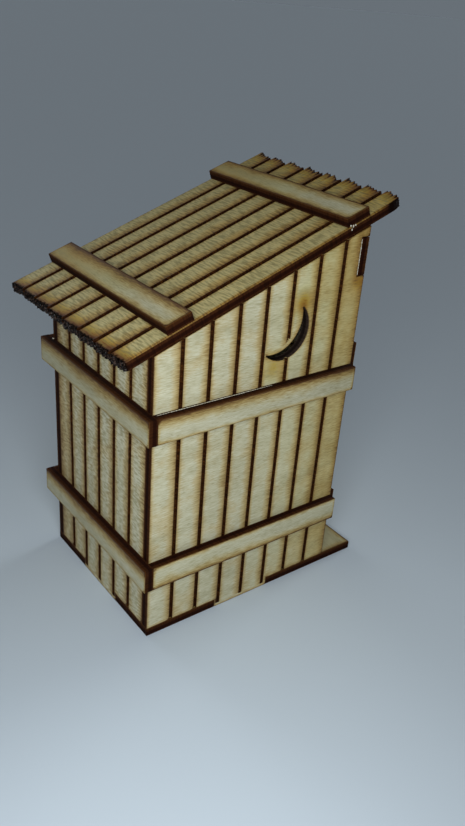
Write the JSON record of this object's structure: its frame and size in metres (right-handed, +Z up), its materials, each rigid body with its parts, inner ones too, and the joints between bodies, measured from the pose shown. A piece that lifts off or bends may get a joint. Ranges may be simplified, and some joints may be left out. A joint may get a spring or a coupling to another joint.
{
  "type": "plank outhouse terrain piece",
  "caption": "Laser-cut plywood outhouse for tabletop terrain, with plank-engraved walls, glued battens, a lift-off sloping roof with ragged ends, and a hinged plank door on a base plate.",
  "frame": {"origin": "middle of the walled footprint, on the underside of the base plate", "axes": "+Z up, -Y out of the front with the door, +X to the right of someone facing the door"},
  "size_m": [0.0485, 0.0652, 0.0875],
  "materials": {
    "plank_ply": "laser-cut birch plywood, pale face with engraved plank grooves and scorched edges",
    "batten_ply": "laser-cut birch plywood strip, grain along its length, scorched edges",
    "base_ply": "laser-cut birch plywood, plain pale face with scorched edges",
    "pin_wire": "drawn brass wire"
  },
  "bodies": {
    "hut": {"base_plate": "base_ply", "left_wall": "plank_ply", "right_wall": "plank_ply", "back_wall": "plank_ply", "front_wall": "plank_ply", "left_lower_batten": "batten_ply", "left_upper_batten": "batten_ply", "right_lower_batten": "batten_ply", "right_upper_batten": "batten_ply", "back_lower_batten": "batten_ply", "back_upper_batten": "batten_ply", "front_left_batten": "batten_ply", "front_right_batten": "batten_ply", "front_header_batten": "batten_ply", "bench_front": "base_ply", "bench_seat": "base_ply"},
    "roof": {"roof_panel": "plank_ply", "roof_low_batten": "batten_ply", "roof_high_batten": "batten_ply"},
    "door": {"door_leaf": "plank_ply", "door_lower_ledge": "batten_ply", "door_upper_ledge": "batten_ply", "door_brace": "batten_ply", "door_pull": "batten_ply", "door_top_pin": "pin_wire", "door_bottom_pin": "pin_wire"}
  },
  "joints": [
    {"name": "roof_lift", "type": "slide", "parent": "hut", "child": "roof", "axis": [0, 0, 1], "range_m": [0, 0.03]},
    {"name": "door_hinge", "type": "hinge", "parent": "hut", "child": "door", "pos_m": [-0.01034, -0.0237, 0.002], "axis": [0, 0, -1], "range_deg": [0, 95]}
  ]
}
